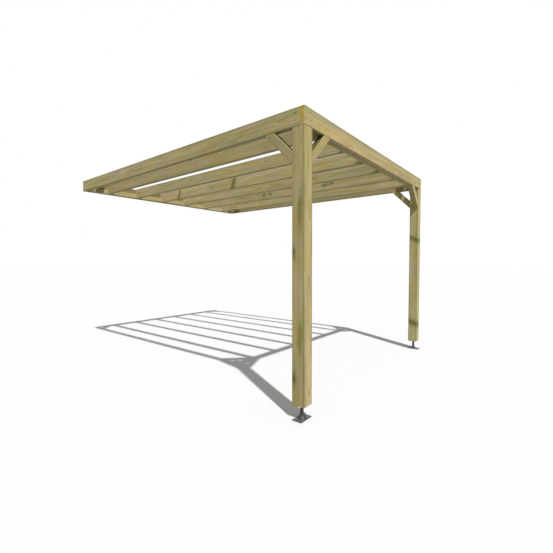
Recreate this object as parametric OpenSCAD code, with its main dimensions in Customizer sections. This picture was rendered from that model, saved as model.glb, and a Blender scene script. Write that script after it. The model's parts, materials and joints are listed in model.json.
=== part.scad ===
// Lean-to pergola: a timber roof frame carried by two posts in front and by a ledger on a wall.
// The origin is on the ledger's back face, at mid-length and mid-height. +Z is up, the wall is
// the plane Y = 0, and the frame reaches towards -Y. Dimensions are in millimetres.

/* [Overall] */
// Width along the wall, over the outside faces
width = 3000; // [2400:10:4200]
// Depth from the wall to the front face
depth = 3900; // [2400:10:4500]
// Height from the ground to the top of the beams
height = 2450; // [2100:10:2900]

/* [Beams] */
// Height of the beams, the ledger and the rafters
beam_h = 145; // [130:1:220]
// Thickness of the beams and the ledger
beam_t = 45; // [30:1:60]

/* [Battens] */
// Height of the battens that carry the rafters
batten_h = 70; // [40:1:80]
// Thickness of the battens
batten_t = 45; // [25:1:60]

/* [Rafters] */
// Thickness of the rafters
rafter_t = 45; // [30:1:60]
// From the outside face to the middle of the first rafter
rafter_inset = 345; // [320:1:450]

/* [Posts] */
// Side of the square posts
post_size = 115; // [90:1:125]

/* [Braces] */
// Side of the braces' section
brace_size = 70; // [45:1:75]
// Outer leg of the knee braces, along the post and along the beam
knee_leg = 280; // [220:1:600]
// Gap between the corner braces and the battens under them
brace_drop_gap = 5; // [1:0.5:15]
// Gap between the corner braces' ends and the first rafter
brace_end_gap = 2.5; // [1:0.5:10]

/* [Feet] */
// Height of the feet, from the ground to the post
foot_h = 115; // [70:1:200]
// Length of the ground plates
plate_l = 155; // [120:1:220]
// Width of the ground plates
plate_w = 90; // [75:1:140]
// Thickness of the ground plates
plate_t = 6; // [4:1:12]
// Diameter of the stems
stem_d = 28; // [20:1:36]
// How far a stem flares out, past its own side, where it meets its ground plate
stem_flare = 28; // [6:1:32]
// Height of the flare
flare_h = 42; // [20:1:50]
// Side of the square head plates under the posts
head_size = 80; // [60:1:88]
// Thickness of the head plates
head_t = 5; // [4:1:10]
// Diameter of the anchor holes in the ground plates
anchor_d = 12; // [8:1:16]
// Distance from an anchor hole's middle to the plate's end
anchor_edge = 20; // [14:1:24]

/* [Wall fixing] */
// Diameter of the bolt holes through the ledger
wall_bolt_d = 12; // [8:1:20]

/* [Hidden] */
$fn = 64;

flare_steps = 8;
flare_curve = 1.8;                          // 1 for a straight cone, more for a hollower flare

rafter_count = 6;
cut = 1;                                    // how far a cutter reaches past the face it cuts

left = -width / 2;                          // outside face of the left beam and post
front = -depth;                             // front face of the front beam and the posts
top = beam_h / 2;                           // top of every beam and rafter
under = -beam_h / 2;                        // underside of every beam and rafter
post_h = height - beam_h - foot_h;
post_foot = under - post_h;                 // underside of the posts
ground = top - height;
core = post_size - beam_t;                  // what the posts keep behind the beams
batten_l = width - 2 * post_size;
rafter_pitch = (width - 2 * rafter_inset) / (rafter_count - 1);
brace_cut = brace_size * sqrt(2);           // length of a brace's mitred end
corner_leg = rafter_inset - rafter_t / 2 - beam_t - brace_end_gap;
corner_h = beam_h - batten_h - brace_drop_gap;
stem_l = foot_h - plate_t - head_t;
stem_r = stem_d / 2;
flare_r = min(stem_r + stem_flare, plate_w / 2 - 1, plate_l / 2 - anchor_edge - anchor_d / 2 - 2);

beam_tan = [0.74, 0.66, 0.46];
rafter_tan = [0.66, 0.62, 0.42];
post_tan = [0.70, 0.66, 0.44];
brace_tan = [0.70, 0.67, 0.47];
dark_steel = [0.30, 0.31, 0.32];

function rafter_x(i) = left + rafter_inset + (i - 1) * rafter_pitch;

// The right half of the frame is the left half seen in a mirror.
module right_side() {
    mirror([1, 0, 0]) children();
}

// A post stands flush with the beams' outside faces, and its core goes up inside their corner.
module post() {
    color(post_tan) translate([left, front, post_foot]) union() {
        cube([post_size, post_size, post_h]);
        translate([beam_t, beam_t, 0]) cube([core, core, post_h + beam_h]);
    }
}

// Moves what belongs to a foot to the ground point under the middle of the left post.
module at_foot(turn) {
    translate([left + post_size / 2, front + post_size / 2, ground]) rotate([0, 0, turn]) children();
}

module foot_plate(turn) {
    color(dark_steel) at_foot(turn) difference() {
        translate([-plate_l / 2, -plate_w / 2, 0]) cube([plate_l, plate_w, plate_t]);
        for (side = [-1, 1])
            translate([side * (plate_l / 2 - anchor_edge), 0, -cut])
                cylinder(d = anchor_d, h = plate_t + 2 * cut);
    }
}

// Points up the side of the flare, from its foot to where the stem runs straight.
function flare_side() = [
    for (i = [0:flare_steps])
        let (up = i / flare_steps)
            [stem_r + (flare_r - stem_r) * pow(1 - up, flare_curve), up * min(flare_h, stem_l - 5)]
];

module foot_stem() {
    color(dark_steel) at_foot(0) translate([0, 0, plate_t]) rotate_extrude()
        polygon(concat([[0, 0]], flare_side(), [[stem_r, stem_l], [0, stem_l]]));
}

module foot_head() {
    color(dark_steel) at_foot(0) translate([-head_size / 2, -head_size / 2, foot_h - head_t])
        cube([head_size, head_size, head_t]);
}

module front_beam() {
    color(beam_tan) translate([left, front, under]) cube([width, beam_t, beam_h]);
}

module side_beam() {
    color(beam_tan) translate([left, front + beam_t, under]) cube([beam_t, depth - beam_t, beam_h]);
}

// The wall bolts pass above the batten, in the middle of each bay between two rafters.
module wall_ledger() {
    color(beam_tan) difference() {
        translate([left + beam_t, -beam_t, under]) cube([width - 2 * beam_t, beam_t, beam_h]);
        for (i = [1:rafter_count - 1])
            translate([rafter_x(i) + rafter_pitch / 2, cut, top - (beam_h - batten_h) / 2])
                rotate([90, 0, 0]) cylinder(d = wall_bolt_d, h = beam_t + 2 * cut);
    }
}

module batten(y) {
    color(rafter_tan) translate([-batten_l / 2, y, under]) cube([batten_l, batten_t, batten_h]);
}

module front_batten() {
    batten(front + beam_t);
}

module ledger_batten() {
    batten(-beam_t - batten_t);
}

// A rafter runs from the front beam to the ledger and is notched over both battens.
module rafter(i) {
    length = depth - 2 * beam_t;
    color(rafter_tan) translate([rafter_x(i) - rafter_t / 2, front + beam_t, under]) difference() {
        cube([rafter_t, length, beam_h]);
        for (y = [-cut, length - batten_t])
            translate([-cut, y, -cut])
                cube([rafter_t + 2 * cut, batten_t + cut, batten_h + cut]);
    }
}

// Outline of a brace at 45 degrees across the corner at the origin.
module brace_outline(leg) {
    polygon([[leg, 0], [0, leg], [0, leg - brace_cut], [leg - brace_cut, 0]]);
}

module side_knee_brace() {
    color(brace_tan) translate([left, front + post_size, under]) rotate([90, 0, 90])
        linear_extrude(brace_size) mirror([0, 1]) brace_outline(knee_leg);
}

module front_knee_brace() {
    color(brace_tan) translate([left + post_size, front + brace_size, under]) rotate([90, 0, 0])
        linear_extrude(brace_size) mirror([0, 1]) brace_outline(knee_leg);
}

module front_corner_brace() {
    color(brace_tan) translate([left + beam_t, front + beam_t, top - corner_h])
        linear_extrude(corner_h) brace_outline(corner_leg);
}

module wall_corner_brace() {
    color(brace_tan) translate([left + beam_t, -beam_t, top - corner_h])
        linear_extrude(corner_h) mirror([0, 1]) brace_outline(corner_leg);
}

post();  // post_left
right_side() post();  // post_right
foot_plate(0);  // foot_plate_left
right_side() foot_plate(90);  // foot_plate_right
foot_stem();  // foot_stem_left
right_side() foot_stem();  // foot_stem_right
foot_head();  // foot_head_left
right_side() foot_head();  // foot_head_right
front_beam();
front_batten();
wall_ledger();
ledger_batten();
side_beam();  // side_beam_left
right_side() side_beam();  // side_beam_right
rafter(1);  // rafter_1
rafter(2);  // rafter_2
rafter(3);  // rafter_3
rafter(4);  // rafter_4
rafter(5);  // rafter_5
rafter(6);  // rafter_6
side_knee_brace();  // side_knee_brace_left
right_side() side_knee_brace();  // side_knee_brace_right
front_knee_brace();  // front_knee_brace_left
right_side() front_knee_brace();  // front_knee_brace_right
front_corner_brace();  // front_corner_brace_left
right_side() front_corner_brace();  // front_corner_brace_right
wall_corner_brace();  // wall_corner_brace_left
right_side() wall_corner_brace();  // wall_corner_brace_right
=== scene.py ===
# Lean-to pergola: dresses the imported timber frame, with eased edges, grain, screws and steel feet.
import bpy
import bmesh
import json
import math
import random
from mathutils import Matrix, Vector


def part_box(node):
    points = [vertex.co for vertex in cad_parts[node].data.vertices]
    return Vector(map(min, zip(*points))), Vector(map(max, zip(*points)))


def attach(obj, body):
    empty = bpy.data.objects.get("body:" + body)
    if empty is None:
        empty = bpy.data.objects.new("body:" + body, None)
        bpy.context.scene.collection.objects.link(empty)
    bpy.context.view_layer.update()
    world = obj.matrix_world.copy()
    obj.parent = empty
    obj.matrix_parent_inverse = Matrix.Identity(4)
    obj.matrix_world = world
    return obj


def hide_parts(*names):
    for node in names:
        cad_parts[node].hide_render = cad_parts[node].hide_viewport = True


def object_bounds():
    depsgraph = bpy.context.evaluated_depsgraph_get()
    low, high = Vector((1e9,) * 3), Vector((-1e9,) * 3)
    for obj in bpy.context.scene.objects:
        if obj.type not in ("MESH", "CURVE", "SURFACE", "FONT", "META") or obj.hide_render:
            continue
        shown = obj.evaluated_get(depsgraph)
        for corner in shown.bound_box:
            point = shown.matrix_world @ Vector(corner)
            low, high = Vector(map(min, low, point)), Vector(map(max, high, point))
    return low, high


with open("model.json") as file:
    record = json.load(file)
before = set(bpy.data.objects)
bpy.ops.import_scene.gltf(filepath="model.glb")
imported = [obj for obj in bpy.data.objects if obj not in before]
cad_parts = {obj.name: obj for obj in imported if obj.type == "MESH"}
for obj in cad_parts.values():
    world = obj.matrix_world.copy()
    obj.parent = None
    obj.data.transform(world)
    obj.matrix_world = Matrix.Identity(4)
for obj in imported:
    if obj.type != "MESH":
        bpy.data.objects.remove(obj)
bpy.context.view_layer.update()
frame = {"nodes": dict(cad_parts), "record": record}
slotOfNode = {part["node"]: part["material_slot"] for part in frame["record"]["subparts"]}
print("frame loaded:", len(frame["nodes"]), "nodes")


# shader helpers
def addNode(tree, kind, **settings):
    node = tree.nodes.new(kind)
    for name, value in settings.items():
        setattr(node, name, value)
    return node


def plug(tree, socket, value):  # a link for an output, a set value for anything else
    if hasattr(value, "is_output"):
        tree.links.new(value, socket)
    else:
        socket.default_value = (*value, 1.0) if isinstance(value, tuple) else value


def maths(tree, operation, *values):
    node = addNode(tree, "ShaderNodeMath", operation=operation)
    for socket, value in zip(node.inputs, values):
        plug(tree, socket, value)
    return node.outputs[0]


def split(tree, vector):
    node = addNode(tree, "ShaderNodeSeparateXYZ")
    tree.links.new(vector, node.inputs[0])
    return list(node.outputs)


def joined(tree, *values):
    node = addNode(tree, "ShaderNodeCombineXYZ")
    for socket, value in zip(node.inputs, values):
        plug(tree, socket, value)
    return node.outputs[0]


def mixed(tree, factor, a, b, blend="MIX"):
    node = addNode(tree, "ShaderNodeMix", data_type="RGBA", blend_type=blend)
    plug(tree, node.inputs[0], factor)
    plug(tree, node.inputs[6], a)
    plug(tree, node.inputs[7], b)
    return node.outputs[2]


def ramp(tree, value, low, high, toLow=0.0, toHigh=1.0):
    node = addNode(tree, "ShaderNodeMapRange", interpolation_type="SMOOTHSTEP")
    plug(tree, node.inputs[0], value)
    for i, number in enumerate((low, high, toLow, toHigh), 1):
        node.inputs[i].default_value = number
    return node.outputs[0]


def stretched(tree, vector, scale, shift=(0.0, 0.0, 0.0)):
    node = addNode(tree, "ShaderNodeMapping")
    tree.links.new(vector, node.inputs["Vector"])
    node.inputs["Scale"].default_value = scale
    node.inputs["Location"].default_value = shift
    return node.outputs[0]


def span(tree, vector, scale):  # length of a vector once each part is scaled
    node = addNode(tree, "ShaderNodeVectorMath", operation="LENGTH")
    tree.links.new(stretched(tree, vector, scale), node.inputs[0])
    return node.outputs["Value"]


def noise(tree, vector, scale, detail=2.0, rough=0.5, shift=(0.0, 0.0, 0.0)):
    node = addNode(tree, "ShaderNodeTexNoise")
    tree.links.new(stretched(tree, vector, scale, shift), node.inputs["Vector"])
    node.inputs["Scale"].default_value = 1.0
    node.inputs["Detail"].default_value = detail
    node.inputs["Roughness"].default_value = rough
    return node.outputs[0]


def linear(red, green, blue):  # colour as seen on a screen, 0 to 255, to the shader's own scale
    return tuple(((c / 255 + 0.055) / 1.055) ** 2.4 for c in (red, green, blue))


def attribute(tree, name):  # what a board's own mesh says
    return addNode(tree, "ShaderNodeAttribute", attribute_name=name).outputs


def pressed(tree, shader, height, strength, depth):  # the surface rises and falls with a height
    bump = addNode(tree, "ShaderNodeBump")
    bump.inputs["Strength"].default_value = strength
    bump.inputs["Distance"].default_value = depth
    tree.links.new(height, bump.inputs["Height"])
    tree.links.new(bump.outputs[0], shader.inputs["Normal"])


def newMaterial(name):
    material = bpy.data.materials.new(name)
    material.use_nodes = True
    tree = material.node_tree
    return material, tree, tree.nodes["Principled BSDF"]


# treated softwood
timber = {
    "ringSpacing": 0.008,            # metres between two growth rings
    "ringStrength": 0.30,            # how dark the rings are drawn
    "ringShape": (0.3, 0.9, 0.92),   # shares of the spacing where late wood starts, is full and fades
    "heartWander": 0.05,             # metres that the rings' heart wanders along the board
    "ringRipple": 0.006,             # metres of smaller waves in the rings
    "ringBend": 0.014,               # metres that the rings bend away from a knot
    "tintStrength": 0.75,            # how far the patches go to their own tint
    "warmth": (0.3, 0.6, 0.4, 1.0),  # two values of the stain pattern and how warm the board is at each
    "streaks": (0.5, 0.72, 0.0, 0.30),  # two values of the streak pattern and how dark it is at each
    "checks": (0.735, 0.765),        # values of the crack pattern between which a drying check opens
    "contrast": {"fibre": 0.22, "line": 0.30, "stain": 0.30},  # light and dark that a pattern gives
    "rimWidth": 0.022,               # metres in from its edges where a face stops being darker
    "rimVaries": (1.6, 0.4),         # how much the stain pattern moves that, and its least
    "edgeTone": 0.35,                # how far the eased edges go to their own colour
    "endTopTint": 0.5,               # how much yellower an end gets where its board is darker towards the top
    "topDarkeningHold": 8.0,             # the higher, the closer that darkening keeps to the top
    "roughness": 0.74,
    "roughnessSpread": 0.2,          # how much the streaks change it
    "specular": 0.3,
    "relief": {"fibre": 0.35, "lateWood": 0.25, "check": -1.6, "knot": 0.5},  # heights for a depth of 1
    "reliefDepth": 0.0012,
    "reliefStrength": 0.35,
}

timberTones = {  # colour of each kind of timber, how much darker its edges and how yellow its ends are
    "post_timber": (linear(188, 177, 124), 0.24, 0.28),
    "beam_timber": (linear(188, 174, 123), 0.28, 0.25),
    "rafter_timber": (linear(193, 180, 130), 0.18, 0.28),
    "brace_timber": (linear(188, 177, 121), 0.14, 0.28),
}

tints = {  # what is multiplied with a timber's colour
    "green": (0.90, 1.02, 0.98),
    "mauve": (1.05, 0.99, 1.32),
    "ochre": (1.01, 0.94, 0.74),
    "pale": (1.08, 1.09, 1.16),
    "dark": (0.42, 0.38, 0.26),
    "warm": (1.07, 0.93, 0.90),
    "rose": (1.08, 0.97, 1.04),
    "halo": (0.82, 0.93, 0.80),
    "knot": (0.50, 0.43, 0.26),
    "knotRim": (0.60, 0.60, 0.42),
    "top": (0.04, 0.35, 0.10),
}

shades = {  # colours that parts of a board go to
    "edge": linear(168, 160, 112),
    "end": linear(218, 178, 40),
    "endRing": linear(150, 118, 50),
    # the colour that faces with painted shade go towards
    "paintedShade": linear(76, 66, 36),
}

# Noise that follows the grain: how many times a metre it changes along, across and through the
# board, how fine and how rough it is, and how far it is shifted.
patterns = {
    "speckle": ((40.0, 60.0, 60.0), 3.0, 0.5, (3.0, 3.0, 3.0)),
    "wander": ((0.9, 3.0, 3.0), 2.0, 0.5),
    "ripple": ((4.0, 16.0, 16.0), 2.0, 0.5, (4.0, 2.0, 7.0)),
    "strip": ((0.5, 26.0, 26.0), 2.0, 0.5, (2.0, 9.0, 1.0)),
    "patch": ((3.6, 15.0, 15.0), 2.0, 0.6, (11.0, 5.0, 3.0)),
    "spot": ((5.5, 22.0, 22.0), 2.0, 0.6, (6.0, 8.0, 2.0)),
    "streak": ((0.7, 30.0, 30.0), 3.0, 0.6),
    "line": ((0.9, 85.0, 85.0), 2.0, 0.6, (7.0, 2.0, 5.0)),
    "stain": ((2.2, 14.0, 14.0), 3.0, 0.6, (1.0, 6.0, 4.0)),
    "fibre": ((14.0, 700.0, 700.0), 3.0, 0.7),
    "crack": ((1.1, 95.0, 95.0), 1.0, 0.5, (6.0, 1.0, 8.0)),
}

# Tints laid over each other in this order, where a pattern rises or sinks from one value to the next.
tintLayers = (
    ("green", "strip", "rising", 0.50, 0.62),
    ("pale", "strip", "sinking", 0.38, 0.50),
    ("mauve", "patch", "rising", 0.50, 0.64),
    ("ochre", "patch", "sinking", 0.36, 0.48),
    ("green", "spot", "rising", 0.52, 0.66),
    ("rose", "streak", "sinking", 0.36, 0.47),
)

knotLook = {
    "strength": 0.80,
    "rim": (0.6, 1.4),    # from where to where each part fades out, in times the knot's own size
    "core": (0.1, 0.8),
    "halo": (0.8, 2.6),
    "haloStrength": 0.6,
    "fray": (1.5, 0.25),  # how much the speckle pattern moves its outline, and its least
    "farthest": 9.0,
}
knotCount = 5             # knots that a board can have


def tinted(tree, colour, factor, tint):
    return mixed(tree, factor, colour, tints[tint], "MULTIPLY")


def knotReach(tree, local, lean, speckle):  # how many times its own size the nearest knot is away
    reach = knotLook["farthest"]
    for i in range(knotCount):
        offset = addNode(tree, "ShaderNodeVectorMath", operation="SUBTRACT")
        tree.links.new(local, offset.inputs[0])
        tree.links.new(attribute(tree, "knot%d" % i)["Vector"], offset.inputs[1])
        along, across, deep = split(tree, offset.outputs[0])
        perLength, perWidth, least = split(tree, attribute(tree, "knotSize%d" % i)["Vector"])
        along = maths(tree, "MULTIPLY_ADD", across, lean, along)  # a knot leans as it crosses the board
        away = joined(tree, maths(tree, "MULTIPLY", along, perLength),
                      maths(tree, "MULTIPLY", across, perWidth), maths(tree, "MULTIPLY", deep, perWidth))
        away = maths(tree, "MAXIMUM", span(tree, away, (1.0, 1.0, 1.0)), least)
        reach = maths(tree, "MINIMUM", reach, away)
    return maths(tree, "MULTIPLY", reach, maths(tree, "MULTIPLY_ADD", speckle, *knotLook["fray"]))


def growthRings(tree, grain, field, halo):  # dark late wood, round a heart that wanders along the board
    radius = span(tree, grain, (0.0, 1.0, 1.0))
    radius = maths(tree, "MULTIPLY_ADD", field["wander"], timber["heartWander"], radius)
    radius = maths(tree, "MULTIPLY_ADD", field["ripple"], timber["ringRipple"], radius)
    radius = maths(tree, "MULTIPLY_ADD", halo, timber["ringBend"], radius)
    rings = maths(tree, "FRACT", maths(tree, "DIVIDE", radius, timber["ringSpacing"]))
    start, full, fade = timber["ringShape"]
    return maths(tree, "MULTIPLY", ramp(tree, rings, start, full), ramp(tree, rings, fade, 1.0, 1.0, 0.0))


def rimShade(tree, local, halfWide, halfThick, stain, strength):  # darker towards the edges of a face
    _, wide, thick = split(tree, local)
    inwards = maths(tree, "MAXIMUM", maths(tree, "SUBTRACT", halfWide, maths(tree, "ABSOLUTE", wide)),
                    maths(tree, "SUBTRACT", halfThick, maths(tree, "ABSOLUTE", thick)))
    inwards = maths(tree, "MULTIPLY", inwards, maths(tree, "MULTIPLY_ADD", stain, *timber["rimVaries"]))
    return ramp(tree, inwards, 0.0, timber["rimWidth"], 1 - strength, 1.0)


def timberMaterial(name, main, rimStrength, endTint, endGrain=False):
    material, tree, shader = newMaterial(name)
    grain, local = attribute(tree, "grain")["Vector"], attribute(tree, "local")["Vector"]
    brightness, warmth, topDarkening = split(tree, attribute(tree, "tone")["Vector"])
    lean, halfWide, halfThick = split(tree, attribute(tree, "form")["Vector"])
    field = {label: noise(tree, grain, *pattern) for label, pattern in patterns.items()}

    reach = knotReach(tree, local, lean, field["speckle"])
    knot = ramp(tree, reach, *knotLook["rim"], knotLook["strength"], 0.0)
    core = ramp(tree, reach, *knotLook["core"], knotLook["strength"], 0.0)
    halo = ramp(tree, reach, *knotLook["halo"], 1.0, 0.0)
    lateWood = growthRings(tree, grain, field, halo)

    colour = main
    for tint, label, way, low, high in tintLayers:
        strengths = (0.0, timber["tintStrength"]) if way == "rising" else (timber["tintStrength"], 0.0)
        colour = tinted(tree, colour, ramp(tree, field[label], low, high, *strengths), tint)
    warm = maths(tree, "MULTIPLY", ramp(tree, field["stain"], *timber["warmth"]), warmth)
    colour = tinted(tree, colour, warm, "warm")
    colour = tinted(tree, colour, ramp(tree, field["streak"], *timber["streaks"]), "dark")
    ringTone = maths(tree, "MULTIPLY", lateWood, timber["ringStrength"])
    if endGrain:
        yellow = maths(tree, "MULTIPLY_ADD", topDarkening, timber["endTopTint"], endTint)
        colour = mixed(tree, yellow, colour, shades["end"])
        colour = mixed(tree, ringTone, colour, shades["endRing"])
    else:
        eased = maths(tree, "MULTIPLY", attribute(tree, "edge")["Fac"], timber["edgeTone"])
        colour = tinted(tree, colour, ringTone, "dark")
        colour = mixed(tree, eased, colour, shades["edge"])
    colour = tinted(tree, colour, maths(tree, "MULTIPLY", halo, knotLook["haloStrength"]), "halo")
    colour = tinted(tree, colour, knot, "knotRim")
    colour = tinted(tree, colour, core, "knot")
    # boards with a top value get darker towards their top
    colour = tinted(tree, colour, maths(tree, "POWER", topDarkening, timber["topDarkeningHold"]), "top")
    # painted shade: the knee braces' inner faces, rafter undersides and the ledger's front are darkened
    colour = mixed(tree, attribute(tree, "paintedShade")["Fac"], colour, shades["paintedShade"])

    bright = brightness
    for label, contrast in timber["contrast"].items():
        varied = maths(tree, "MULTIPLY_ADD", field[label], 2 * contrast, 1 - contrast)
        bright = maths(tree, "MULTIPLY", bright, varied)
    if not endGrain:
        rim = rimShade(tree, local, halfWide, halfThick, field["stain"], rimStrength)
        bright = maths(tree, "MULTIPLY", bright, rim)
    shade = addNode(tree, "ShaderNodeVectorMath", operation="SCALE")
    tree.links.new(colour, shade.inputs[0])
    tree.links.new(bright, shade.inputs["Scale"])
    tree.links.new(shade.outputs[0], shader.inputs["Base Color"])

    # fibres, rings, drying checks and knots are pressed into the surface
    relief = timber["relief"]
    check = ramp(tree, field["crack"], *timber["checks"])
    height = maths(tree, "MULTIPLY", field["fibre"], relief["fibre"])
    height = maths(tree, "MULTIPLY_ADD", ringTone if endGrain else lateWood, relief["lateWood"], height)
    height = maths(tree, "MULTIPLY_ADD", check, relief["check"], height)
    height = maths(tree, "MULTIPLY_ADD", knot, relief["knot"], height)
    pressed(tree, shader, height, timber["reliefStrength"], timber["reliefDepth"])
    smoothest = timber["roughness"] - timber["roughnessSpread"] / 2
    roughness = maths(tree, "MULTIPLY_ADD", field["streak"], timber["roughnessSpread"], smoothest)
    tree.links.new(roughness, shader.inputs["Roughness"])
    shader.inputs["Specular IOR Level"].default_value = timber["specular"]
    return material


timberFaces = {slot: timberMaterial(slot, *tone) for slot, tone in timberTones.items()}
timberEnds = {slot: timberMaterial(slot + "_end", *tone, True) for slot, tone in timberTones.items()}
print("timber materials made")


# screws
screw = {
    "headRadius": 0.0046,
    "holeRadius": 0.0052,
    "holeDepth": 0.0016,
    "sunk": 0.0005,           # how far the head lies below the wood's face
    "edgeDrop": 0.0004,       # how far its rounded rim falls
    "recessDepth": 0.0011,
    "underside": 0.8,         # shares of the head's radius
    "flatTop": 0.93,
    "lobes": (0.42, 0.30),    # the recess's six lobes, and the hollows between them
    "recessTaper": 0.85,
    "sides": 12,
    "holeSides": 16,
    "seed": 7,                # for the turn of each head
}
spread = {  # where the screws go, in metres
    "beamHigh": 0.042,        # how far the upper and the lower screws are above a beam's middle
    "beamLow": -0.026,
    "beamEnd": 0.019,         # from a beam's end to its screws into the next beam's end
    "postMiddle": 0.080,      # from the corner to the screws into the post
    "braceEnd": 0.052,        # from a brace's tip to its screw, along the beam
}
screwPlaces = {}              # board name to a list of (place, direction into the wood)


def addScrew(name, place, into):
    screwPlaces.setdefault(name, []).append((Vector(place), Vector(into).normalized()))


def beamScrews(side, sign):  # into the side beam's end, the post and the ledger's end
    name = "side_beam_" + side
    low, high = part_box(name)
    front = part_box("front_beam")[0].y
    outer = low.x if sign < 0 else high.x
    for height in (spread["beamHigh"], spread["beamLow"]):
        for inward in (spread["beamEnd"], spread["postMiddle"]):
            addScrew("front_beam", (outer - sign * inward, front, height), (0, 1, 0))
        for y in (front + spread["postMiddle"], high.y - spread["beamEnd"]):
            addScrew(name, (outer, y, height), (-sign, 0, 0))


def braceScrews(side, sign):  # through a brace's outer side, near both ends
    ways = {  # the way into the corner, and the way along the brace
        "front_knee_brace_": ((sign, 0, 1), (sign, 0, -1)),
        "side_knee_brace_": ((0, -1, 1), (0, -1, -1)),
        "front_corner_brace_": ((sign, -1, 0), (sign, 1, 0)),
        "wall_corner_brace_": ((sign, 1, 0), (sign, -1, 0)),
    }
    for kind, (into, run) in ways.items():
        low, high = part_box(kind + side)
        half = (high - low) / 2
        reach = (half.y if kind.startswith("side") else half.x) - spread["braceEnd"]
        for end in (-1, 1):
            addScrew(kind + side, (low + high) / 2 + Vector(run) * end * reach, into)


def battenScrews():  # from below into every rafter, and level into the beam or ledger between them
    rafters = [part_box(name) for name in sorted(frame["nodes"]) if name.startswith("rafter")]
    bays = [(a[1].x + b[0].x) / 2 for a, b in zip(rafters, rafters[1:])]
    for name, into in (("front_batten", -1), ("ledger_batten", 1)):
        low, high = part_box(name)
        inner = high.y if into < 0 else low.y
        for rafterLow, rafterHigh in rafters:
            addScrew(name, ((rafterLow.x + rafterHigh.x) / 2, (low.y + high.y) / 2, low.z), (0, 0, 1))
        for x in bays:
            addScrew(name, (x, inner, (low.z + high.z) / 2), (0, into, 0))


def turned(direction):  # the turn that takes +Z to a direction
    return Vector(direction).to_track_quat("Z", "Y").to_matrix().to_4x4()


def screwRing(mesh, radii, height, twist=0.0):
    points = []
    for i in range(screw["sides"]):
        angle = 2 * math.pi * i / screw["sides"] + twist
        radius = radii[i % len(radii)]
        points.append(mesh.verts.new((radius * math.cos(angle), radius * math.sin(angle), height)))
    return points


def addScrewHead(mesh, place, into, twist):  # a flat head with a six-lobed recess, made facing +Z
    radius = screw["headRadius"]
    lobes = [share * radius for share in screw["lobes"]]
    rings = [
        screwRing(mesh, [screw["underside"] * radius], screw["sunk"] - screw["holeDepth"]),
        screwRing(mesh, [radius], -screw["edgeDrop"]),
        screwRing(mesh, [screw["flatTop"] * radius], 0.0),
        screwRing(mesh, lobes, 0.0, twist),
        screwRing(mesh, [screw["recessTaper"] * lobe for lobe in lobes], -screw["recessDepth"], twist),
    ]
    for a, b in zip(rings, rings[1:]):
        for i in range(len(a)):
            j = (i + 1) % len(a)
            mesh.faces.new((a[i], a[j], b[j], b[i]))
    mesh.faces.new(list(reversed(rings[0])))
    mesh.faces.new(rings[-1])
    seat = Matrix.Translation(place + into * screw["sunk"]) @ turned(-into)
    bmesh.ops.transform(mesh, matrix=seat, verts=[point for ring in rings for point in ring])


for side, sign in (("left", -1), ("right", 1)):
    beamScrews(side, sign)
    braceScrews(side, sign)
battenScrews()
print("screws placed:", sum(len(places) for places in screwPlaces.values()))


# mesh helpers
def addObject(name, data):
    thing = bpy.data.objects.new(name, data)
    bpy.context.scene.collection.objects.link(thing)
    return thing


def addPiece(name, mesh, *materials):
    data = bpy.data.meshes.new(name)
    mesh.to_mesh(data)
    mesh.free()
    for material in materials:
        data.materials.append(material)
    return addObject(name, data)


def wholeFaces(name):  # a node's own mesh, each flat face in one piece
    mesh = bmesh.new()
    mesh.from_mesh(frame["nodes"][name].data)
    bmesh.ops.remove_doubles(mesh, verts=mesh.verts, dist=1e-5)
    bmesh.ops.dissolve_limit(mesh, angle_limit=math.radians(1), verts=mesh.verts, edges=mesh.edges)
    return mesh


def isSharp(edge, degrees):
    return edge.is_manifold and edge.calc_face_angle() > math.radians(degrees)


def easeEdges(mesh, edges, radius, steps):  # rounds the edges and gives the faces that this makes
    return bmesh.ops.bevel(mesh, geom=edges, offset=radius, segments=steps, profile=0.5,
                           affect="EDGES", clamp_overlap=True)["faces"]


# boards, posts and braces
board = {
    "edgeRadius": 0.003,
    "braceEdgeRadius": 0.004,
    "edgeSteps": 2,
    "sharpFrom": 30.0,           # degrees between two faces from which their edge is eased
    "heartAway": (0.085, 0.13),  # how far the heart of the tree lies from the board's middle
    "heartTurn": 40.0,           # degrees either side of the way to the heart
    "flatSawn": 0.65,            # share of boards with the heart off a wide face
    "trunk": 40.0,               # metres of timber that a board can be cut from
    "untintedShare": 0.001,          # share of the height, at the top and the bottom, that takes neither warmth nor top darkening
    "paintedShade": {"kneeInner": 0.9, "rafterUnder": 0.14, "ledgerFront": 0.55},  # how far these faces are painted darker, as painted shade: the knee braces' inner faces, rafter undersides and the ledger's front
    "usualTone": (1.0, 0.3, 0.0),  # for a board that has no tone of its own
}

boardTones = {  # how bright and how warm a board is, and how far it is darkened down from its top
    "front_beam": (1.02, 1.0, 0.90),
    "front_batten": (0.92, 0.0, 0.0),
    "side_beam_left": (0.97, 0.0, 0.75),
    "side_beam_right": (0.86, 0.2, 0.0),
    "post_left": (1.0, 0.5, 0.0),
    "post_right": (1.09, 0.2, 0.0),
    "rafter_1": (0.95, 0.1, 0.0),
    "rafter_2": (0.98, 0.1, 0.0),
    "rafter_3": (1.10, 0.3, 0.0),
    "rafter_4": (0.98, 0.1, 0.0),
    "rafter_5": (0.98, 0.1, 0.0),
    "rafter_6": (1.04, 0.0, 0.0),
    "side_knee_brace_right": (1.30, 0.0, 0.0),
    "wall_ledger": (0.9, 0.2, 0.0),
    "ledger_batten": (0.92, 0.0, 0.0),
}

boardSeeds = {"post_left": 65}  # boards that take their grain from a seed of their own

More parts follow.
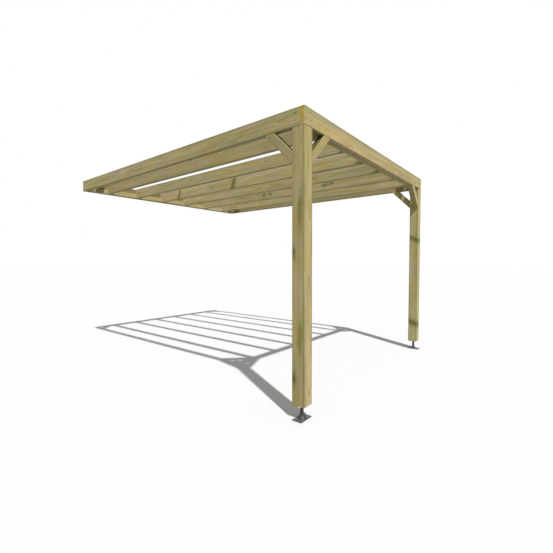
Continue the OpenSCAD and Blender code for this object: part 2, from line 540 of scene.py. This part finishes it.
# How knots lean as they cross a board, then each knot: the side of the board, metres along it from
# its left, front or lower end, metres across that side, its radius and its kind.
knots = {
    # the shade marks on the two boards below are painted shade on their undersides beside the left post
    "front_beam": (0.3, (("under", 0.20, 0.045, 0.030, "shade"),)),
    "front_batten": (0.3, (("under", 0.08, 0.022, 0.035, "shade"),)),
    "post_left": (0.3, (("left", 1.55, 0.042, 0.023, "smudge"), ("left", 1.22, 0.102, 0.025, "spot"),
                        ("left", 0.55, 0.038, 0.023, "smudge"), ("left", 0.22, 0.098, 0.025, "spot"))),
    "post_right": (0.45, (("left", 1.48, 0.058, 0.042, "band"), ("left", 0.27, 0.054, 0.054, "band"))),
    "rafter_3": (0.35, (("left", 3.26, 0.070, 0.032, "band"), ("left", 2.00, 0.070, 0.042, "band"),
                        ("left", 0.10, 0.020, 0.020, "spot"))),
    "rafter_4": (0.35, (("left", 0.10, 0.018, 0.016, "spot"),)),
    "rafter_5": (0.35, (("left", 2.22, 0.080, 0.026, "round"), ("left", 2.09, 0.076, 0.018, "round"),
                        ("left", 1.06, 0.078, 0.032, "round"), ("left", 0.955, 0.090, 0.024, "round"))),
}
knotSides = ("left", "front", "under")  # the sides that face -X, -Y and -Z
knotKinds = {  # length and width for a radius of 1, then how faint it stays at its middle, from 0
    "spot": (2.4, 1.0, 0.0),
    "round": (1.6, 1.0, 0.5),
    "smudge": (5.0, 1.0, 0.70),
    "band": (1.0, 7.0, 0.0),
    # shade: painted shade, drawn with the knots' dark tints
    "shade": (5.0, 1.0, 0.45),
}
noKnot = ((99.0, 0.0, 0.0), (1.0, 1.0, 0.0))  # place and size of a knot that a board doesn't have
randomKnots = {"apart": 1.1, "radius": (0.006, 0.013), "lean": 0.3}  # for boards with no real knots above

# What a face of a board can be. The faces of a screw hole come out as the first of these.
faceKinds = ("side", "end", "kneeInner", "eased", "rafterUnder", "ledgerFront")


def faceKind(name, normal, along):
    if abs(normal.dot(along)) > 0.5:
        return "end"
    if "knee" in name and normal.z > 0.5:
        return "kneeInner"
    if "rafter" in name and normal.z < -0.5:
        return "rafterUnder"
    if name == "wall_ledger" and normal.y < -0.5:
        return "ledgerFront"
    return "side"


def boardAxes(mesh):  # along the board, then across its wider side, then across its thickness
    spans = sorted((e.verts[1].co - e.verts[0].co for e in mesh.edges), key=lambda s: -s.length)
    along = spans[0].normalized()
    wide = next(s for s in spans if abs(s.normalized().dot(along)) < 0.01).normalized()
    return along, wide, along.cross(wide)


def inBoard(place, axes):  # a place as metres along, across and through the board
    return Vector([place.dot(axis) for axis in axes])


def cutHoles(piece, holes):  # shallow round holes that the screw heads sit in
    cutter = bmesh.new()
    for place, into in holes:
        made = bmesh.ops.create_cone(cutter, cap_ends=True, segments=screw["holeSides"],
                                     radius1=screw["holeRadius"], radius2=screw["holeRadius"],
                                     depth=2 * screw["holeDepth"])
        bmesh.ops.transform(cutter, matrix=Matrix.Translation(place) @ turned(-into), verts=made["verts"])
    tool = addPiece("cutter", cutter)
    modifier = piece.modifiers.new("holes", "BOOLEAN")
    modifier.operation = "DIFFERENCE"
    modifier.solver = "EXACT"
    modifier.object = tool
    bpy.context.view_layer.update()
    shaped = bpy.data.meshes.new_from_object(piece.evaluated_get(bpy.context.evaluated_depsgraph_get()))
    piece.modifiers.clear()
    solid = piece.data
    piece.data = shaped
    bpy.data.meshes.remove(solid)
    bpy.data.objects.remove(tool)


def planKnots(name, rng):  # the lean, then (place, radius, kind) of every knot of a board
    low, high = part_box(name)
    size = high - low
    axis = max(range(3), key=lambda i: size[i])
    found = []
    lean, given = knots.get(name, (randomKnots["lean"], ()))
    for side, along, across, radius, kind in given:
        place = low.copy()
        place[axis] += along
        place[3 - axis - knotSides.index(side)] += across
        found.append((place, radius, kind))
    if all(kind == "shade" for _, _, kind in found):  # a shade is painted shade, not a knot, so real knots are still needed
        for _ in range(min(knotCount, round(size[axis] / randomKnots["apart"]))):
            place = Vector([rng.uniform(low[i], high[i]) for i in range(3)])
            face = rng.choice([i for i in range(3) if i != axis])
            place[face] = rng.choice((low[face], high[face]))
            found.append((place, rng.uniform(*randomKnots["radius"]), "spot"))
    return lean, found


def knotMarks(name, rng, axes):  # the board's form, then each knot's place and size, along its axes
    low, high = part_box(name)
    lean, found = planKnots(name, rng)
    _, halfWide, halfThick = [abs((high - low).dot(axis)) / 2 for axis in axes]
    marks = {"form": (lean, halfWide, halfThick)}
    for i in range(knotCount):
        marks["knot%d" % i], marks["knotSize%d" % i] = noKnot
    for i, (place, radius, kind) in enumerate(found):
        length, width, least = knotKinds[kind]
        marks["knot%d" % i] = inBoard(place - (low + high) / 2, axes)
        marks["knotSize%d" % i] = (1 / (radius * length), 1 / (radius * width), least)
    return marks


def toneAt(name, height):  # height from 0 at the underside to 1 at the top
    brightness, warmth, topDarkening = boardTones.get(name, board["usualTone"])
    if board["untintedShare"] < height < 1 - board["untintedShare"]:
        return brightness, warmth * (1 - topDarkening * height), topDarkening * height
    return brightness, 0.0, 0.0


def markPoints(data, label, vectors):
    layer = data.attributes.new(label, "FLOAT_VECTOR", "POINT")
    for entry, vector in zip(layer.data, vectors):
        entry.vector = vector


def markFaces(data, label, values):
    layer = data.attributes.new(label, "FLOAT", "FACE")
    for entry, value in zip(layer.data, values):
        entry.value = value


def markTimber(data, name, rng, axes):  # what the timber's material asks of a board
    low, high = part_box(name)
    middle = (low + high) / 2
    places = [vertex.co - middle for vertex in data.vertices]
    heights = [(vertex.co.z - low.z) / (high.z - low.z) for vertex in data.vertices]
    for label, vector in knotMarks(name, rng, axes).items():
        markPoints(data, label, [vector] * len(places))
    markPoints(data, "local", [inBoard(place, axes) for place in places])
    angle = math.radians(rng.uniform(-board["heartTurn"], board["heartTurn"]))
    away = rng.uniform(*board["heartAway"])
    shift = Vector((rng.uniform(0, board["trunk"]), away * math.cos(angle), away * math.sin(angle)))
    along, wide, thick = axes
    if rng.random() < board["flatSawn"]:
        axes = (along, thick, wide)
    markPoints(data, "grain", [inBoard(place, axes) + shift for place in places])
    markPoints(data, "tone", [toneAt(name, height) for height in heights])


def dressBoard(name, seed):
    slot = slotOfNode[name]
    mesh = wholeFaces(name)
    axes = boardAxes(mesh)
    sharp = [edge for edge in mesh.edges if isSharp(edge, board["sharpFrom"])]
    radius = board["braceEdgeRadius"] if "brace" in name else board["edgeRadius"]
    roundings = easeEdges(mesh, sharp, radius, board["edgeSteps"])
    for face in mesh.faces:
        face.smooth = face in roundings
        kind = "eased" if face in roundings else faceKind(name, face.normal, axes[0])
        face.material_index = faceKinds.index(kind)
    piece = addPiece(name + "_timber", mesh, *[timberFaces[slot]] * len(faceKinds))
    if name in screwPlaces:
        cutHoles(piece, screwPlaces[name])
    data = piece.data
    kinds = [faceKinds[face.material_index] for face in data.polygons]
    markTimber(data, name, random.Random(boardSeeds.get(name, seed)), axes)
    markFaces(data, "edge", [1.0 if kind == "eased" else 0.0 for kind in kinds])
    # painted shade, given face by face
    markFaces(data, "paintedShade", [board["paintedShade"].get(kind, 0.0) for kind in kinds])
    data.materials.clear()
    data.materials.append(timberFaces[slot])
    data.materials.append(timberEnds[slot])
    for face, kind in zip(data.polygons, kinds):
        face.material_index = 1 if kind == "end" else 0
    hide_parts(name)
    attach(piece, "root")


for seed, name in enumerate(sorted(n for n in frame["nodes"] if not n.startswith("foot"))):
    dressBoard(name, seed)
print("timbers dressed")


# steel feet and screws
steel = {
    "plate": linear(98, 102, 102),  # tones of the zinc, its plates' upright sides darker as painted shade, then of the screws
    "stem": linear(62, 65, 62),
    # painted shade on the plates' upright sides
    "side": linear(54, 56, 56),
    "screw": linear(120, 118, 104),
    "roughness": 0.43,
    "stainRoughness": 0.25,   # how much rougher the zinc is where it is stained
    "metal": 0.45,
    "edgeRadius": 0.0012,
    "edgeSteps": 2,
    "sharpFrom": 60.0,        # degrees between two faces from which their edge is eased
    "easedFrom": 0.02,        # metres, the shortest edge that is eased
    "stemCrease": 40.0,       # degrees from which a stem's shading shows an edge
    "crystals": 140.0,        # how fine the zinc's crystals are
    "crystalStrength": 0.3,
    "crystalTone": 1.5,       # how many times the tone the lightest crystals have
    "stain": ((22.0, 22.0, 22.0), 4.0),  # a pattern, given as the timber's are
    "stained": (0.5, 0.75, 0.0, 0.5),    # two values of the pattern and how strong it is at each
    "stainTone": 0.45,
    "scuff": ((160.0, 160.0, 40.0), 3.0, 0.5, (5.0, 2.0, 1.0)),
    "scuffed": (0.62, 0.8, 0.0, 0.35),
    "scuffTone": 2.0,
    "scuffRelief": 0.3,
    "reliefStrength": 0.2,
    "reliefDepth": 0.0005,
}


def timesTone(tone, times):
    return tuple(min(1.0, times * part) for part in tone)


def steelMaterial(name, tone):
    material, tree, shader = newMaterial(name)
    place = addNode(tree, "ShaderNodeTexCoord").outputs["Object"]
    crystals = addNode(tree, "ShaderNodeTexVoronoi", feature="F1")
    tree.links.new(place, crystals.inputs["Vector"])
    crystals.inputs["Scale"].default_value = steel["crystals"]
    crystal, _, _ = split(tree, crystals.outputs["Color"])
    stain = noise(tree, place, *steel["stain"])
    scuff = noise(tree, place, *steel["scuff"])
    light = maths(tree, "MULTIPLY", crystal, steel["crystalStrength"])
    colour = mixed(tree, light, tone, timesTone(tone, steel["crystalTone"]))
    colour = mixed(tree, ramp(tree, stain, *steel["stained"]), colour, timesTone(tone, steel["stainTone"]))
    colour = mixed(tree, ramp(tree, scuff, *steel["scuffed"]), colour, timesTone(tone, steel["scuffTone"]))
    tree.links.new(colour, shader.inputs["Base Color"])
    shader.inputs["Metallic"].default_value = steel["metal"]
    roughness = maths(tree, "MULTIPLY_ADD", stain, steel["stainRoughness"], steel["roughness"])
    tree.links.new(roughness, shader.inputs["Roughness"])
    height = maths(tree, "ADD", stain, maths(tree, "MULTIPLY", scuff, steel["scuffRelief"]))
    pressed(tree, shader, height, steel["reliefStrength"], steel["reliefDepth"])
    return material


plateSteel = steelMaterial("zinc_plate", steel["plate"])
stemSteel = steelMaterial("zinc_stem", steel["stem"])
shadedSideSteel = steelMaterial("zinc_side_painted_shade", steel["side"])
screwSteel = steelMaterial("screw_steel", steel["screw"])


def dressFoot(name):  # a stem keeps its shape, a plate gets eased edges and sides darkened as painted shade
    mesh = wholeFaces(name)
    isStem = "stem" in name
    if isStem:
        for edge in mesh.edges:
            edge.smooth = not isSharp(edge, steel["stemCrease"])
    else:
        long = [edge for edge in mesh.edges if edge.calc_length() > steel["easedFrom"]]
        sharp = [edge for edge in long if isSharp(edge, steel["sharpFrom"])]
        easeEdges(mesh, sharp, steel["edgeRadius"], steel["edgeSteps"])
    for face in mesh.faces:
        face.smooth = isStem
        # a plate's upright faces take the zinc darkened as painted shade
        face.material_index = 1 if not isStem and abs(face.normal.z) < 0.5 else 0
    piece = addPiece(name + "_steel", mesh, stemSteel if isStem else plateSteel, shadedSideSteel)
    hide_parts(name)
    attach(piece, "root")


def makeScrews():
    rng = random.Random(screw["seed"])
    mesh = bmesh.new()
    for places in screwPlaces.values():
        for place, into in places:
            addScrewHead(mesh, place, into, rng.uniform(0, math.pi))
    bmesh.ops.recalc_face_normals(mesh, faces=mesh.faces)
    piece = addPiece("screw_heads", mesh, screwSteel)
    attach(piece, "root")


for name in frame["nodes"]:
    if name.startswith("foot"):
        dressFoot(name)
makeScrews()
print("feet and screws made")


# floor, light and camera
stage = {
    "floorSize": 120.0,
    "floorTone": 0.755,       # what the camera sees of the floor
    "floorBounce": (0.24, 0.235, 0.205),  # what the floor gives back to the underside of the frame
    "sky": 0.37,              # the light from all round, which the camera sees as white
    "sun": 3.65,
    "sunSoftness": 1.2,       # degrees across
    "sunTravel": (0.324, 0.633, -1.0),
}


def seenDirectly(tree):  # 1 for the camera, a reflection or a look through glass, 0 for bounced light
    rays = addNode(tree, "ShaderNodeLightPath").outputs
    direct = maths(tree, "ADD", rays["Is Camera Ray"], rays["Is Glossy Ray"])
    return maths(tree, "MINIMUM", maths(tree, "ADD", direct, rays["Is Transmission Ray"]), 1.0)


def makeFloor():
    material, tree, shader = newMaterial("pale_floor")
    tree.nodes.remove(shader)
    tone = mixed(tree, seenDirectly(tree), stage["floorBounce"], (stage["floorTone"],) * 3)
    surface = addNode(tree, "ShaderNodeBsdfDiffuse")
    tree.links.new(tone, surface.inputs["Color"])
    tree.links.new(surface.outputs[0], tree.nodes["Material Output"].inputs["Surface"])
    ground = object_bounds()[0][2]
    half = stage["floorSize"] / 2
    corners = ((-half, -half), (half, -half), (half, half), (-half, half))
    mesh = bpy.data.meshes.new("floor")
    mesh.from_pydata([(x, y, ground) for x, y in corners], [], [(0, 1, 2, 3)])
    mesh.materials.append(material)
    floor = addObject("floor", mesh)


def makeLight():
    world = bpy.data.worlds.new("studio")
    bpy.context.scene.world = world
    world.use_nodes = True
    tree = world.node_tree
    background = tree.nodes["Background"]
    background.inputs["Color"].default_value = (1.0, 1.0, 1.0, 1.0)
    strength = mixed(tree, seenDirectly(tree), (stage["sky"],) * 3, (1.0, 1.0, 1.0))
    tree.links.new(strength, background.inputs["Strength"])
    lamp = bpy.data.lights.new("sun", "SUN")
    lamp.energy = stage["sun"]
    lamp.angle = math.radians(stage["sunSoftness"])
    sun = addObject("sun", lamp)
    sun.rotation_mode = "QUATERNION"
    sun.rotation_quaternion = Vector(stage["sunTravel"]).to_track_quat("-Z", "Y")


view = {
    "place": (-3.685, -5.372, -1.118),
    "heading": 51.41,         # degrees from straight at the wall towards the right
    "down": 2.37,
    "roll": -0.08,
    "lens": 22.23,
    "sensor": 36.0,
    "farthest": 200.0,
}


def makeCamera():
    data = bpy.data.cameras.new("camera")
    data.sensor_width = view["sensor"]
    data.lens = view["lens"]
    data.clip_end = view["farthest"]
    camera = addObject("camera", data)
    turn = Matrix.Rotation(math.radians(-view["heading"]), 4, "Z")
    tilt = Matrix.Rotation(math.radians(90 - view["down"]), 4, "X")
    roll = Matrix.Rotation(math.radians(view["roll"]), 4, "Z")
    camera.matrix_world = Matrix.Translation(view["place"]) @ turn @ tilt @ roll
    bpy.context.scene.camera = camera


makeFloor()
makeLight()
makeCamera()
bpy.context.scene.view_settings.view_transform = "Standard"
print("stage set")
